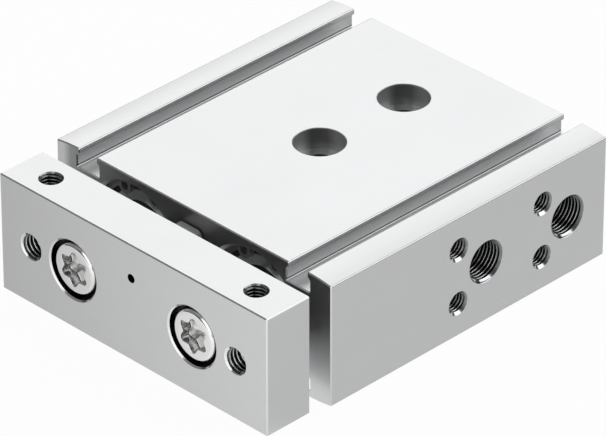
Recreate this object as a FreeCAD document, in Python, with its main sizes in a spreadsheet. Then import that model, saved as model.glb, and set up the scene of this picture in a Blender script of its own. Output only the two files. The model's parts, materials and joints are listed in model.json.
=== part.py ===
import FreeCAD, Part
import math
import os
from types import SimpleNamespace

import Sketcher

# Driving dimensions, in millimetres. Depths run back from the housing's front face.
DIMENSIONS = {
    # housing extrusion
    "housing_width": 80.2,
    "housing_height": 29.95,
    "housing_length": 81.1,
    "rail_drop": 0.62,
    "land_width": 56.35,
    "slot_opening": 5.05,
    "slot_undercut": 0.7,
    "slot_lip": 1.2,
    "slot_depth": 4.6,
    "slot_floor_round": 0.2,
    "slot_lip_round": 0.4,
    "rail_edge_round": 0.4,
    "end_edge_break": 0.25,
    # bores and the grooves of their retaining rings
    "rod_spacing": 35.0,
    "bore_diameter": 25.0,
    "bore_mouth": 0.8,
    "circlip_setback": 2.0,
    "circlip_groove_width": 1.3,
    "circlip_groove_depth": 0.6,
    # mounting holes through the middle of the housing
    "base_hole_from_rear": 19.15,
    "base_hole_spacing": 25.0,
    "base_hole_diameter": 6.6,
    "base_counterbore_diameter": 11.2,
    "base_counterbore_depth": 5.0,
    "base_hole_break": 0.15,
    # mounting threads on the housing's sides, at their major diameter
    "side_thread_diameter": 5.0,
    "side_thread_mouth": 5.55,
    "side_thread_depth": 9.0,
    "side_thread_rise": 13.0,
    # air ports on the right side, at their thread's major diameter
    "port_diameter": 9.73,
    "port_mouth": 9.9,
    "port_depth": 8.0,
    "port_spacing": 24.5,
    "port_from_rear": 11.5,
    "air_drilling_diameter": 4.0,
    # stroke, clearances and fits
    "stroke": 10.0,
    "stop_clearance": 0.3,
    "running_clearance": 0.05,
    "fit_clearance": 0.02,
    "turned_chamfer": 0.5,
    # bearing caps and what they hold
    "cap_clearance": 0.05,
    "wiper_diameter": 14.8,
    "wiper_length": 4.0,
    "cap_web": 1.7,
    "rod_relief": 0.3,
    "bush_diameter": 14.0,
    "rod_seal_diameter": 18.0,
    "rod_seal_length": 5.0,
    "rod_seal_lip": 0.9,
    "o_ring_section": 1.6,
    "o_ring_groove_width": 2.4,
    "o_ring_land": 1.8,
    # elastic stops and rear caps
    "cushion_thickness": 2.0,
    "cushion_diameter": 20.8,
    "cushion_hole": 14.6,
    "end_cap_length": 6.1,
    "end_cap_dish_diameter": 13.0,
    "end_cap_dish_depth": 1.0,
    # retaining rings
    "circlip_thickness": 1.2,
    "circlip_band": 2.3,
    "circlip_offset": 0.7,
    "circlip_lug_radius": 1.85,
    "circlip_eye_diameter": 2.0,
    "circlip_eye_across": 8.9,
    "circlip_eye_reach": 10.1,
    "circlip_gap": 5.3,
    # rods and pistons
    "rod_diameter": 12.0,
    "spigot_diameter": 8.0,
    "piston_length": 18.0,
    "piston_clearance": 0.2,
    "ring_land": 1.5,
    "ring_groove_width": 4.0,
    "ring_side_gap": 0.1,
    "seal_groove_depth": 3.1,
    "wear_groove_depth": 1.1,
    "piston_seal_lip": 0.8,
    "nut_recess_diameter": 15.6,
    "nut_recess_depth": 4.6,
    "nut_across_flats": 13.0,
    "nut_height": 4.0,
    # yoke plate
    "plate_width": 78.1,
    "plate_height": 28.1,
    "plate_thickness": 12.15,
    "plate_gap": 4.9,
    "plate_edge_break": 0.25,
    "plate_thread_spacing": 60.0,
    "face_thread_diameter": 6.0,
    "face_thread_mouth": 6.3,
    "top_thread_diameter": 5.0,
    "top_thread_mouth": 5.35,
    "top_thread_depth": 9.0,
    "rod_socket_depth": 2.5,
    # yoke screws
    "screw_counterbore_diameter": 13.6,
    "screw_counterbore_depth": 5.0,
    "screw_counterbore_break": 0.35,
    "screw_head_diameter": 11.9,
    "screw_head_height": 4.7,
    "screw_head_round": 1.1,
    "screw_thread_diameter": 8.0,
    "screw_length": 18.0,
    "screw_play": 0.2,
    "screw_tip_room": 1.5,
    "lobe_socket_across": 7.8,
    "lobe_radius": 0.95,
    "lobe_socket_depth": 3.2,
    # stop bumper between plate and housing
    "bumper_width": 7.0,
    "bumper_height": 10.6,
    "bumper_round": 1.5,
    "bumper_rise": 6.0,
    "peg_hole_diameter": 2.05,
    "peg_length": 8.0,
}

LOBES = 6
HEX_SIDES = 6
SIDES = {"left": -1, "right": 1}
RIGHT_ANGLE = 90.0
POINT_TOLERANCE = 1e-4


class Size:
    """A number of millimetres, with the sheet expression that gives it."""

    def __init__(self, number, text):
        self.number = number
        self.text = text

    def __add__(self, other):
        other = as_size(other)
        return Size(self.number + other.number, f"({self.text} + {other.text})")

    def __sub__(self, other):
        other = as_size(other)
        return Size(self.number - other.number, f"({self.text} - {other.text})")

    def __mul__(self, other):
        other = as_size(other)
        return Size(self.number * other.number, f"({self.text} * {other.text})")

    def __truediv__(self, other):
        other = as_size(other)
        return Size(self.number / other.number, f"({self.text} / {other.text})")

    def __neg__(self):
        return self * -1

    __radd__ = __add__
    __rmul__ = __mul__


def as_size(value):
    return value if isinstance(value, Size) else Size(value, f"({value})")


def least(first, second):
    """The smaller of two sizes, chosen in the sheet's own expression."""
    return Size(min(first.number, second.number), f"min({first.text}; {second.text})")


def make_sheet(doc):
    """Put the driving dimensions in a spreadsheet and hand them back by name."""
    sheet = doc.addObject("Spreadsheet::Sheet", "Dimensions")
    for row, (name, number) in enumerate(DIMENSIONS.items(), start=1):
        sheet.set(f"A{row}", name)
        sheet.set(f"B{row}", str(number))
        sheet.setAlias(f"B{row}", name)
    doc.recompute()
    return SimpleNamespace(**{name: Size(float(sheet.get(name)), f"Dimensions.{name}")
                              for name in DIMENSIONS})


DOC = FreeCAD.newDocument("DoublePistonCylinder")
DIM = make_sheet(DOC)

# Heights and radii worked out from the driving dimensions
AXIS_HEIGHT = DIM.housing_height / 2
BORE_RADIUS = DIM.bore_diameter / 2
CAP_RADIUS = BORE_RADIUS - DIM.cap_clearance
ROD_RADIUS = DIM.rod_diameter / 2
WIPER_RADIUS = DIM.wiper_diameter / 2
BUSH_RADIUS = DIM.bush_diameter / 2
ROD_SEAL_RADIUS = DIM.rod_seal_diameter / 2
SPIGOT_RADIUS = DIM.spigot_diameter / 2
PISTON_RADIUS = BORE_RADIUS - DIM.piston_clearance
O_RING_FLOOR = BORE_RADIUS - DIM.o_ring_section - DIM.fit_clearance * 2
SEAL_FLOOR = PISTON_RADIUS - DIM.seal_groove_depth
WEAR_FLOOR = PISTON_RADIUS - DIM.wear_groove_depth

# Depths along the bores, from the front ring back to the rear ring
GROOVE_BACK = DIM.circlip_setback + DIM.circlip_groove_width
END_CAP_BACK = DIM.housing_length - GROOVE_BACK
END_CAP_FRONT = END_CAP_BACK - DIM.end_cap_length
REAR_CUSHION_FRONT = END_CAP_FRONT - DIM.cushion_thickness
PISTON_BACK = REAR_CUSHION_FRONT - DIM.stop_clearance
PISTON_FRONT = PISTON_BACK - DIM.piston_length
FRONT_CUSHION_BACK = PISTON_FRONT - DIM.stroke - DIM.stop_clearance
CAP_BACK = FRONT_CUSHION_BACK - DIM.cushion_thickness
BUSH_BACK = CAP_BACK - DIM.rod_seal_length
CAP_FRONT = GROOVE_BACK
WIPER_BACK = CAP_FRONT + DIM.wiper_length
BUSH_FRONT = WIPER_BACK + DIM.cap_web
NUT_FRONT = PISTON_BACK - DIM.nut_recess_depth
NUT_BACK = NUT_FRONT + DIM.nut_height

# Depths of the yoke, in front of the housing
PLATE_BACK = -DIM.plate_gap
PLATE_FRONT = PLATE_BACK - DIM.plate_thickness
SCREW_SEAT = PLATE_FRONT + DIM.screw_counterbore_depth
SCREW_TIP = SCREW_SEAT + DIM.screw_length
ROD_FRONT = PLATE_BACK - DIM.rod_socket_depth

# The origin lies midway between the mounting holes, on the underside
ORIGIN_DEPTH = DIM.housing_length - DIM.base_hole_from_rear - DIM.base_hole_spacing / 2


def bind(item, path, value):
    item.setExpression(path, as_size(value).text)


def new_body(label, side=0):
    """A body whose origin is on a bore's axis, or between them, at the housing's front face."""
    body = DOC.addObject("PartDesign::Body", label)
    body.Label = label
    bind(body, "Placement.Base.x", DIM.rod_spacing / 2 * side)
    bind(body, "Placement.Base.y", -ORIGIN_DEPTH)
    bind(body, "Placement.Base.z", AXIS_HEIGHT)
    return body


def each_side():
    return SIDES.items()


# Sketches

def circle(x, y, radius):
    return SimpleNamespace(x=as_size(x), y=as_size(y), radius=as_size(radius))


def corner(x, y, radius=None):
    """A corner of an outline; a radius makes an outward arc from it to the next corner."""
    return SimpleNamespace(x=as_size(x), y=as_size(y), radius=radius)


def rectangle(left, right, low, high):
    return [corner(left, low), corner(right, low), corner(right, high), corner(left, high)]


def outline(*points):
    return [corner(*point) for point in points]


def vector(point):
    return FreeCAD.Vector(point.x.number, point.y.number, 0)


def outward_arc(start, end, radius):
    """The arc from start to end whose centre lies to the left of the way from one to the other."""
    chord = end - start
    rise = math.sqrt(radius ** 2 - (chord.Length / 2) ** 2)
    inward = FreeCAD.Vector(-chord.y, chord.x, 0).normalize()
    centre = (start + end) * 0.5 + inward * rise
    first, last = (math.atan2(point.y - centre.y, point.x - centre.x) for point in (start, end))
    return Part.ArcOfCircle(Part.Circle(centre, FreeCAD.Vector(0, 0, 1), radius), first, last)


def place_point(sketch, geometry, point, place):
    """Hold a point of the sketch at its two distances from the sketch's origin."""
    terms = [("DistanceX", place.x), ("DistanceY", place.y)]
    first = sketch.ConstraintCount
    sketch.addConstraint([Sketcher.Constraint(kind, -1, 1, geometry, point, value.number)
                          for kind, value in terms])
    for index, (_, value) in enumerate(terms):
        bind(sketch, f"Constraints[{first + index}]", value)


def hold_radius(sketch, geometry, radius):
    index = sketch.addConstraint(Sketcher.Constraint("Radius", geometry, radius.number))
    bind(sketch, f"Constraints[{index}]", radius)


def add_circle(sketch, loop):
    shape = Part.Circle(vector(loop), FreeCAD.Vector(0, 0, 1), loop.radius.number)
    geometry = sketch.addGeometry(shape, False)
    place_point(sketch, geometry, 3, loop)
    hold_radius(sketch, geometry, loop.radius)


def add_outline(sketch, corners):
    first = sketch.GeometryCount
    for start, end in zip(corners, corners[1:] + corners[:1]):
        if start.radius is None:
            sketch.addGeometry(Part.LineSegment(vector(start), vector(end)), False)
        else:
            sketch.addGeometry(outward_arc(vector(start), vector(end), start.radius.number), False)
    for index, place in enumerate(corners):
        here = first + index
        before = first + (index - 1) % len(corners)
        sketch.addConstraint(Sketcher.Constraint("Coincident", before, 2, here, 1))
        place_point(sketch, here, 1, place)
        if place.radius is not None:
            hold_radius(sketch, here, place.radius)


def draw(body, name, plane, loops, offset=(0, 0, 0)):
    """A sketch of circles and outlines on a plane of the body, moved by an offset in that plane."""
    sketch = body.newObject("Sketcher::SketchObject", name)
    role = f"{plane}_Plane"
    base = next(item for item in body.Origin.OriginFeatures if item.Role == role)
    sketch.AttachmentSupport = (base, [""])
    sketch.MapMode = "FlatFace"
    for axis, distance in zip("xyz", offset):
        bind(sketch, f"AttachmentOffset.Base.{axis}", distance)
    for loop in loops:
        if isinstance(loop, list):
            add_outline(sketch, loop)
        else:
            add_circle(sketch, loop)
    return sketch


def draw_across(body, name, loops, depth):
    """A sketch across the bores, at a depth behind the housing's front face."""
    return draw(body, name, "XZ", loops, (0, 0, -as_size(depth)))


# Features

def feature(body, kind, name, profile):
    item = body.newObject(f"PartDesign::{kind}", name)
    item.Profile = profile
    return item


def pad(body, name, profile, length):
    item = feature(body, "Pad", name, profile)
    bind(item, "Length", length)
    return item


def pocket(body, name, profile, length):
    item = feature(body, "Pocket", name, profile)
    bind(item, "Length", length)
    return item


def turn(body, name, points):
    """A solid turned about the bore's axis, from an outline of radii and depths."""
    profile = draw(body, f"{name}_outline", "XY", [outline(*points)])
    item = feature(body, "Revolution", name, profile)
    item.ReferenceAxis = (profile, ["V_Axis"])
    return body


def drill(body, name, profile, diameter, depth=None, point="Flat", mouth=None, seat=None):
    """Holes at the circles of a sketch: through or blind, with a chamfered mouth or a flat seat."""
    DOC.recompute()
    item = feature(body, "Hole", name, profile)
    DOC.recompute()
    item.Threaded = False
    bind(item, "Diameter", diameter)
    item.DepthType = "ThroughAll" if depth is None else "Dimension"
    if depth is not None:
        bind(item, "Depth", depth)
    item.DrillPoint = point
    if mouth is not None:
        item.HoleCutType = "Countersink"
        bind(item, "HoleCutDiameter", mouth)
        item.HoleCutCountersinkAngle = RIGHT_ANGLE
    if seat is not None:
        item.HoleCutType = "Counterbore"
        bind(item, "HoleCutDiameter", seat[0])
        bind(item, "HoleCutDepth", seat[1])
    return item


def dress(body, kind, name, chosen, size):
    """Round or chamfer those edges of the body's last feature that the test chooses."""
    DOC.recompute()
    last = body.Tip
    names = [f"Edge{index}" for index, edge in enumerate(last.Shape.Edges, start=1) if chosen(edge)]
    item = body.newObject(f"PartDesign::{kind}", name)
    item.Base = (last, names)
    bind(item, "Radius" if kind == "Fillet" else "Size", size)
    return item


def near(first, second):
    return abs(first - second) < POINT_TOLERANCE


def along_depth(*spots):
    """Chooses the straight edges that run back from the given places, mirrored to all four quarters."""
    def chosen(edge):
        start, end = edge.firstVertex().Point, edge.lastVertex().Point
        straight = near(start.x, end.x) and near(start.z, end.z)
        return straight and any(near(abs(start.x), x.number) and near(abs(start.z), z.number)
                                for x, z in spots)
    return chosen


def flat_at_depth(*depths):
    """Chooses the edges that lie flat at one of the depths."""
    def chosen(edge):
        box = edge.BoundBox
        return any(near(box.YMin, depth.number) and near(box.YMax, depth.number) for depth in depths)
    return chosen


def ring_at_depth(radius, *depths):
    """Chooses the circles of that radius that lie flat at one of the depths."""
    flat = flat_at_depth(*depths)

    def chosen(edge):
        return isinstance(edge.Curve, Part.Circle) and near(edge.Curve.Radius, radius.number) and flat(edge)
    return chosen


def ring_at_height(radius, height):
    """Chooses the circles of that radius that lie level at the height."""
    def chosen(edge):
        box = edge.BoundBox
        round_edge = isinstance(edge.Curve, Part.Circle) and near(edge.Curve.Radius, radius.number)
        return round_edge and near(box.ZMin, height.number) and near(box.ZMax, height.number)
    return chosen


# Housing

def mirrored(corners, flip_x, flip_y):
    """The corners in another quarter; a single mirroring walks them the other way."""
    placed = [corner(item.x * flip_x, item.y * flip_y, item.radius) for item in corners]
    if flip_x * flip_y > 0:
        return placed
    radii = [item.radius for item in corners[:-1]]
    placed.reverse()
    for item, radius in zip(placed, radii[::-1] + [None]):
        item.radius = radius
    return placed


def housing_outline():
    """The extrusion's section: crowned rails, undercut sensor slots and a flat land between them."""
    half_width = DIM.housing_width / 2
    half_height = DIM.housing_height / 2
    land_edge = DIM.land_width / 2
    rail_edge = land_edge + DIM.slot_opening
    rail_width = half_width - rail_edge
    crown = (rail_width * rail_width + DIM.rail_drop * DIM.rail_drop) / (DIM.rail_drop * 2)
    lip = half_height - DIM.slot_lip
    shoulder = lip - DIM.slot_undercut
    floor = half_height - DIM.slot_depth
    quarter = [
        corner(half_width, half_height - DIM.rail_drop, crown),
        corner(rail_edge, half_height),
        corner(rail_edge, lip),
        corner(rail_edge + DIM.slot_undercut, shoulder),
        corner(rail_edge + DIM.slot_undercut, floor),
        corner(land_edge - DIM.slot_undercut, floor),
        corner(land_edge - DIM.slot_undercut, shoulder),
        corner(land_edge, lip),
        corner(land_edge, half_height),
    ]
    loop = []
    for flip_x, flip_y in ((1, 1), (-1, 1), (-1, -1), (1, -1)):
        loop += mirrored(quarter, flip_x, flip_y)
    return quarter, loop


def round_long_edges(body, quarter):
    """Round the rails' outer edges, the slots' lips and the slots' floors."""
    spots = [(item.x, item.y) for item in quarter]
    dress(body, "Fillet", "rail_edges", along_depth(spots[0]), DIM.rail_edge_round)
    dress(body, "Fillet", "slot_lips", along_depth(spots[1], spots[-1]), DIM.slot_lip_round)
    dress(body, "Fillet", "slot_floors", along_depth(spots[4], spots[5]), DIM.slot_floor_round)


def bore_housing(body):
    """Two through bores with chamfered mouths and a ring groove at each end."""
    back = DIM.housing_length
    centre = DIM.rod_spacing / 2
    circles = [circle(centre * side, 0, BORE_RADIUS) for side in SIDES.values()]
    pocket(body, "bores", draw_across(body, "bore_circles", circles, 0), back)
    wall = DIM.housing_height / 2 - BORE_RADIUS
    mouth = least(DIM.bore_mouth, wall / 2)
    dress(body, "Chamfer", "bore_mouths", ring_at_depth(BORE_RADIUS, as_size(0), back), mouth)
    groove_radius = BORE_RADIUS + DIM.circlip_groove_depth
    for name, side in each_side():
        grooves = [rectangle(0, groove_radius, DIM.circlip_setback, GROOVE_BACK),
                   rectangle(0, groove_radius, END_CAP_BACK, back - DIM.circlip_setback)]
        profile = draw(body, f"ring_grooves_{name}", "XY", grooves, (centre * side, 0, 0))
        item = feature(body, "Groove", f"ring_grooves_cut_{name}", profile)
        item.ReferenceAxis = (profile, ["V_Axis"])


def drill_housing(body):
    """Mounting holes, side threads, air ports and the drillings that feed both bores."""
    middle = ORIGIN_DEPTH
    top = DIM.housing_height / 2
    half_width = DIM.housing_width / 2
    steps = [middle - DIM.base_hole_spacing / 2, middle + DIM.base_hole_spacing / 2]
    centres = [circle(0, step, DIM.base_hole_diameter / 2) for step in steps]
    profile = draw(body, "base_hole_centres", "XY", centres, (0, 0, top))
    seat = (DIM.base_counterbore_diameter, DIM.base_counterbore_depth)
    drill(body, "base_holes", profile, DIM.base_hole_diameter, seat=seat)
    mouth = ring_at_height(DIM.base_counterbore_diameter / 2, top)
    dress(body, "Chamfer", "base_hole_edges", mouth, DIM.base_hole_break)

    rise = DIM.side_thread_rise / 2
    threads = [circle(step, height, DIM.side_thread_diameter / 2)
               for step in steps for height in (rise, -rise)]
    for name, side in each_side():
        profile = draw(body, f"side_threads_{name}", "YZ", threads, (0, 0, half_width * side))
        item = drill(body, f"side_thread_holes_{name}", profile, DIM.side_thread_diameter,
                     DIM.side_thread_depth, "Angled", mouth=DIM.side_thread_mouth)
        item.Reversed = side < 0

    rear_port = DIM.housing_length - DIM.port_from_rear
    ports = [rear_port - DIM.port_spacing, rear_port]
    circles = [circle(step, 0, DIM.port_diameter / 2) for step in ports]
    profile = draw(body, "port_centres", "YZ", circles, (0, 0, half_width))
    drill(body, "ports", profile, DIM.port_diameter, DIM.port_depth, mouth=DIM.port_mouth)
    circles = [circle(step, 0, DIM.air_drilling_diameter / 2) for step in ports]
    profile = draw(body, "air_drilling_centres", "YZ", circles, (0, 0, half_width))
    pocket(body, "air_drillings", profile, half_width + DIM.rod_spacing / 2)


def make_housing():
    body = new_body("housing")
    quarter, loop = housing_outline()
    profile = draw_across(body, "section", [loop], DIM.housing_length)
    pad(body, "extrusion", profile, DIM.housing_length)
    round_long_edges(body, quarter)
    dress(body, "Chamfer", "end_edges", flat_at_depth(as_size(0), DIM.housing_length), DIM.end_edge_break)
    bore_housing(body)
    drill_housing(body)


# Bearing caps, end caps and what they hold

def o_ring_groove(back):
    """Front and back of an O-ring's groove whose land ends at the given depth."""
    groove_back = back - DIM.o_ring_land
    return groove_back - DIM.o_ring_groove_width, groove_back


def make_bearing_cap(name, side):
    """The front cover of a bore: wiper pocket, bush seat and rod seal pocket, front to back."""
    chamfer = DIM.turned_chamfer
    groove_front, groove_back = o_ring_groove(CAP_BACK)
    relief = ROD_RADIUS + DIM.rod_relief
    turn(new_body(f"bearing_cap_{name}", side), f"bearing_cap_{name}_turned", [
        (WIPER_RADIUS, CAP_FRONT),
        (CAP_RADIUS - chamfer, CAP_FRONT),
        (CAP_RADIUS, CAP_FRONT + chamfer),
        (CAP_RADIUS, groove_front),
        (O_RING_FLOOR, groove_front),
        (O_RING_FLOOR, groove_back),
        (CAP_RADIUS, groove_back),
        (CAP_RADIUS, CAP_BACK),
        (ROD_SEAL_RADIUS, CAP_BACK),
        (ROD_SEAL_RADIUS, BUSH_BACK),
        (BUSH_RADIUS, BUSH_BACK),
        (BUSH_RADIUS, BUSH_FRONT),
        (relief, BUSH_FRONT),
        (relief, WIPER_BACK),
        (WIPER_RADIUS, WIPER_BACK),
    ])


def make_rod_wiper(name, side):
    """The black ring that keeps dirt off the rod, its lip at the front."""
    outer = WIPER_RADIUS - DIM.fit_clearance
    lip = ROD_RADIUS + DIM.running_clearance
    heel = ROD_RADIUS + DIM.rod_relief * 2
    step = DIM.wiper_length / 10
    turn(new_body(f"rod_wiper_{name}", side), f"rod_wiper_{name}_turned", [
        (heel, CAP_FRONT),
        (outer, CAP_FRONT),
        (outer, WIPER_BACK),
        (heel, WIPER_BACK),
        (heel, CAP_FRONT + step * 4),
        (lip, CAP_FRONT + step * 2),
        (lip, CAP_FRONT + step),
    ])


def make_rod_bush(name, side):
    inner = ROD_RADIUS + DIM.running_clearance
    outer = BUSH_RADIUS - DIM.fit_clearance
    turn(new_body(f"rod_bush_{name}", side), f"rod_bush_{name}_turned", [
        (inner, BUSH_FRONT),
        (outer, BUSH_FRONT),
        (outer, BUSH_BACK),
        (inner, BUSH_BACK),
    ])


def make_rod_seal(name, side):
    """A lip seal, open towards the pressure behind it."""
    outer = ROD_SEAL_RADIUS - DIM.fit_clearance
    inner = ROD_RADIUS + DIM.running_clearance
    lip = DIM.rod_seal_lip
    middle = (outer + inner) / 2
    back = CAP_BACK - DIM.ring_side_gap
    turn(new_body(f"rod_seal_{name}", side), f"rod_seal_{name}_turned", [
        (inner + lip / 2, BUSH_BACK),
        (outer, BUSH_BACK),
        (outer, back),
        (outer - lip, back),
        (middle, back - lip * 2),
        (inner + lip, back),
        (inner, back - lip),
        (inner, back - lip * 2),
        (inner + lip / 2, back - lip * 3),
    ])


def make_o_ring(label, side, back):
    """A static O-ring in the groove whose land ends at the given depth."""
    groove_front, groove_back = o_ring_groove(back)
    section = DIM.o_ring_section / 2
    body = new_body(label, side)
    loop = circle((BORE_RADIUS + O_RING_FLOOR) / 2, (groove_front + groove_back) / 2, section)
    profile = draw(body, f"{label}_section", "XY", [loop])
    item = feature(body, "Revolution", f"{label}_turned", profile)
    item.ReferenceAxis = (profile, ["V_Axis"])


def make_cushion(label, side, front):
    """An elastic stop ring for the piston."""
    turn(new_body(label, side), f"{label}_turned", [
        (DIM.cushion_hole / 2, front),
        (DIM.cushion_diameter / 2, front),
        (DIM.cushion_diameter / 2, front + DIM.cushion_thickness),
        (DIM.cushion_hole / 2, front + DIM.cushion_thickness),
    ])


def make_end_cap(name, side):
    """The rear cover of a bore, dished in the middle."""
    chamfer = DIM.turned_chamfer
    groove_front, groove_back = o_ring_groove(END_CAP_BACK)
    dish = END_CAP_BACK - DIM.end_cap_dish_depth
    turn(new_body(f"end_cap_{name}", side), f"end_cap_{name}_turned", [
        (0, END_CAP_FRONT),
        (CAP_RADIUS - chamfer, END_CAP_FRONT),
        (CAP_RADIUS, END_CAP_FRONT + chamfer),
        (CAP_RADIUS, groove_front),
        (O_RING_FLOOR, groove_front),
        (O_RING_FLOOR, groove_back),
        (CAP_RADIUS, groove_back),
        (CAP_RADIUS, END_CAP_BACK - chamfer),
        (CAP_RADIUS - chamfer, END_CAP_BACK),
        (DIM.end_cap_dish_diameter / 2, END_CAP_BACK),
        (DIM.end_cap_dish_diameter / 2, dish),
        (0, dish),
    ])


def make_circlip(label, side, back):
    """An internal retaining ring: an eccentric band, open at the top, with an eye in each lug."""
    body = new_body(label, side)
    outer = BORE_RADIUS + DIM.circlip_groove_depth - DIM.ring_side_gap
    inner = outer - DIM.circlip_band
    eyes = [(DIM.circlip_eye_across / 2 * flip, DIM.circlip_eye_reach) for flip in SIDES.values()]
    thickness = DIM.circlip_thickness
    band = [circle(0, 0, outer), circle(0, DIM.circlip_offset, inner)]
    pad(body, f"{label}_band", draw_across(body, f"{label}_band_circles", band, back), thickness)
    lugs = [circle(x, y, DIM.circlip_lug_radius) for x, y in eyes]
    pad(body, f"{label}_lugs", draw_across(body, f"{label}_lug_circles", lugs, back), thickness)
    front = back - thickness
    half_gap = DIM.circlip_gap / 2
    gap = rectangle(-half_gap, half_gap, 0, outer * 2)
    pocket(body, f"{label}_gap", draw_across(body, f"{label}_gap_outline", [gap], front), thickness)
    holes = [circle(x, y, DIM.circlip_eye_diameter / 2) for x, y in eyes]
    pocket(body, f"{label}_eyes", draw_across(body, f"{label}_eye_circles", holes, front), thickness)


# Rods and pistons

def make_piston_rod(name, side):
    """A rod tapped at the front for the yoke screw, with a spigot for the piston at the back."""
    chamfer = DIM.turned_chamfer
    tapped = DIM.screw_thread_diameter / 2 + DIM.running_clearance
    tapped_end = SCREW_TIP + DIM.screw_tip_room
    turn(new_body(f"piston_rod_{name}", side), f"piston_rod_{name}_turned", [
        (tapped, ROD_FRONT),
        (ROD_RADIUS - chamfer, ROD_FRONT),
        (ROD_RADIUS, ROD_FRONT + chamfer),
        (ROD_RADIUS, PISTON_FRONT),
        (SPIGOT_RADIUS, PISTON_FRONT),
        (SPIGOT_RADIUS, NUT_BACK),
        (0, NUT_BACK),
        (0, tapped_end),
        (tapped, tapped_end),
    ])


def ring_groove(index):
    """Front and back of one of the piston's ring grooves, counted from the front."""
    front = PISTON_FRONT + DIM.ring_land + (DIM.ring_groove_width + DIM.ring_land) * index
    return front, front + DIM.ring_groove_width


def make_piston(name, side):
    """A piston with grooves for its seal, magnet and wear ring, and a recess for its nut."""
    points = [(SPIGOT_RADIUS + DIM.fit_clearance, PISTON_FRONT), (PISTON_RADIUS, PISTON_FRONT)]
    for index, floor in enumerate((SEAL_FLOOR, SEAL_FLOOR, WEAR_FLOOR)):
        front, back = ring_groove(index)
        points += [(PISTON_RADIUS, front), (floor, front), (floor, back), (PISTON_RADIUS, back)]
    points += [
        (PISTON_RADIUS, PISTON_BACK),
        (DIM.nut_recess_diameter / 2, PISTON_BACK),
        (DIM.nut_recess_diameter / 2, NUT_FRONT),
        (SPIGOT_RADIUS + DIM.fit_clearance, NUT_FRONT),
    ]
    turn(new_body(f"piston_{name}", side), f"piston_{name}_turned", points)


def make_piston_seal(name, side):
    """A double-lipped seal in the piston's front groove."""
    front, back = (edge + gap for edge, gap in zip(ring_groove(0), (DIM.ring_side_gap, -DIM.ring_side_gap)))
    inner = SEAL_FLOOR + DIM.fit_clearance
    outer = BORE_RADIUS - DIM.running_clearance
    lip = DIM.piston_seal_lip
    turn(new_body(f"piston_seal_{name}", side), f"piston_seal_{name}_turned", [
        (inner, front),
        (outer - lip, front),
        (outer, front + lip),
        (outer - lip, (front + back) / 2),
        (outer, back - lip),
        (outer - lip, back),
        (inner, back),
    ])


def make_piston_ring(label, name, side, index, inner, outer):
    """A plain ring in one of the piston's grooves."""
    front, back = ring_groove(index)
    turn(new_body(f"{label}_{name}", side), f"{label}_{name}_turned", [
        (inner, front + DIM.ring_side_gap),
        (outer, front + DIM.ring_side_gap),
        (outer, back - DIM.ring_side_gap),
        (inner, back - DIM.ring_side_gap),
    ])


def make_piston_nut(name, side):
    """The thin nut that holds the piston on the rod's spigot."""
    body = new_body(f"piston_nut_{name}", side)
    reach = DIM.nut_across_flats / (2 * math.cos(math.pi / HEX_SIDES))
    angles = [2 * math.pi * step / HEX_SIDES for step in range(HEX_SIDES)]
    hexagon = [corner(reach * math.cos(angle), reach * math.sin(angle)) for angle in angles]
    loops = [hexagon, circle(0, 0, SPIGOT_RADIUS + DIM.fit_clearance)]
    profile = draw_across(body, f"piston_nut_{name}_outline", loops, NUT_BACK)
    pad(body, f"piston_nut_{name}_pad", profile, DIM.nut_height)


# Yoke

def drill_plate(body):
    """Screw seats and rod sockets, threads on the face and the top edge, and the bumper's peg hole."""
    centre = DIM.rod_spacing / 2
    half_spacing = DIM.plate_thread_spacing / 2
    screw_hole = DIM.screw_thread_diameter + DIM.screw_play * 2
    circles = [circle(centre * side, 0, screw_hole / 2) for side in SIDES.values()]
    profile = draw_across(body, "screw_centres", circles, PLATE_FRONT)
    seat = (DIM.screw_counterbore_diameter, DIM.screw_counterbore_depth)
    drill(body, "screw_holes", profile, screw_hole, seat=seat)
    rims = ring_at_depth(DIM.screw_counterbore_diameter / 2, PLATE_FRONT)
    dress(body, "Chamfer", "screw_hole_edges", rims, DIM.screw_counterbore_break)

    socket = ROD_RADIUS + DIM.fit_clearance
    circles = [circle(centre * side, 0, socket) for side in SIDES.values()]
    profile = draw_across(body, "rod_socket_circles", circles, ROD_FRONT)
    pocket(body, "rod_sockets", profile, DIM.rod_socket_depth)

    circles = [circle(half_spacing * side, 0, DIM.face_thread_diameter / 2) for side in SIDES.values()]
    profile = draw_across(body, "face_thread_centres", circles, PLATE_FRONT)
    drill(body, "face_threads", profile, DIM.face_thread_diameter, mouth=DIM.face_thread_mouth)

    middle = (PLATE_FRONT + PLATE_BACK) / 2
    circles = [circle(half_spacing * side, middle, DIM.top_thread_diameter / 2) for side in SIDES.values()]
    profile = draw(body, "top_thread_centres", "XY", circles, (0, 0, DIM.plate_height / 2))
    drill(body, "top_threads", profile, DIM.top_thread_diameter, DIM.top_thread_depth, "Angled",
          mouth=DIM.top_thread_mouth)

    peg = [circle(0, DIM.bumper_rise, DIM.peg_hole_diameter / 2)]
    drill(body, "peg_hole", draw_across(body, "peg_hole_centre", peg, PLATE_FRONT), DIM.peg_hole_diameter)


def make_yoke_plate():
    body = new_body("yoke_plate")
    half_width = DIM.plate_width / 2
    half_height = DIM.plate_height / 2
    loop = rectangle(-half_width, half_width, -half_height, half_height)
    pad(body, "plate_bar", draw_across(body, "plate_outline", [loop], PLATE_BACK), DIM.plate_thickness)
    dress(body, "Chamfer", "plate_edges", lambda edge: True, DIM.plate_edge_break)
    drill_plate(body)


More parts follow.
